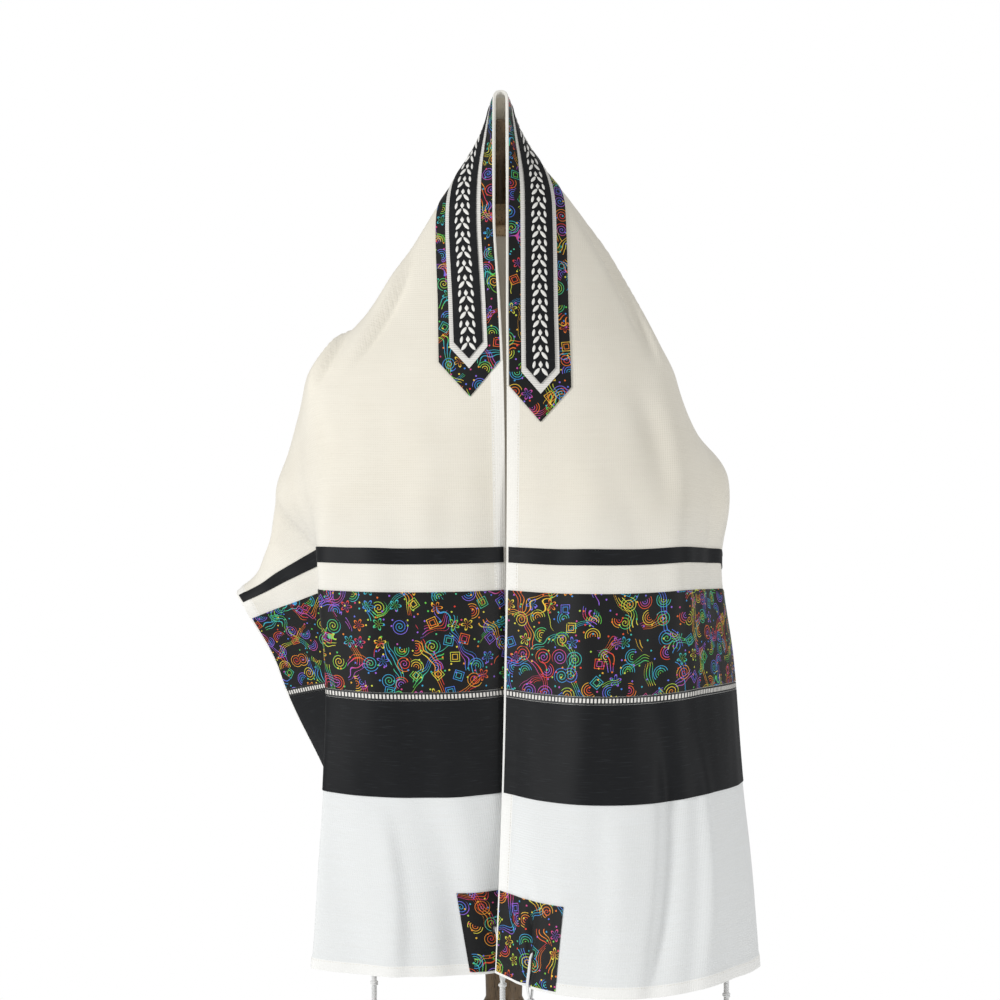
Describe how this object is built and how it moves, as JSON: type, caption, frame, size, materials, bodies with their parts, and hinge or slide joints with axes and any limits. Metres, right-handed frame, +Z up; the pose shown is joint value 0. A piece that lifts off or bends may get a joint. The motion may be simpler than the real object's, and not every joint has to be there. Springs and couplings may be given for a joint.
{
  "type": "tallit prayer shawl on a dress form stand",
  "caption": "Long fringed wool prayer shawl with banded ends, neckband and corner tassels, hung by its neck edge over a limbless dress form on a turned post.",
  "frame": {"origin": "middle of the round base's underside, on the floor, on the post's axis", "axes": "+Z up along the post, -Y towards the front of the shawl, +X to the right as seen from the front"},
  "size_m": [0.6018, 0.4312, 1.6615],
  "materials": {
    "wool": "matt woven wool",
    "dupion": "slubbed silk, soft sheen",
    "print_cloth": "printed cotton, matt",
    "ribbon": "satin ribbon",
    "ladder_ribbon": "woven ribbon, white blocks on black",
    "cotton_cord": "wound yarn, matt",
    "linen": "plain linen, matt",
    "turned_wood": "dark stained, satin"
  },
  "bodies": {
    "root": {"shawl_wool": "wool", "thin_stripe_left": "dupion", "print_band_left": "print_cloth", "ladder_ribbon_left": "ladder_ribbon", "dupion_band_left": "dupion", "patch_front_left": "print_cloth", "tassel_front_left": "cotton_cord", "patch_rear_left": "print_cloth", "tassel_rear_left": "cotton_cord", "thin_stripe_right": "dupion", "print_band_right": "print_cloth", "ladder_ribbon_right": "ladder_ribbon", "dupion_band_right": "dupion", "patch_front_right": "print_cloth", "tassel_front_right": "cotton_cord", "patch_rear_right": "print_cloth", "tassel_rear_right": "cotton_cord", "neckband_print": "print_cloth", "neckband_ribbon": "ribbon", "neckband_centre": "dupion", "neck_piping": "ribbon", "form_torso": "linen", "form_neck_cap": "turned_wood", "form_finial": "turned_wood", "form_collar": "turned_wood", "form_post": "turned_wood", "form_base": "turned_wood"}
  },
  "joints": []
}
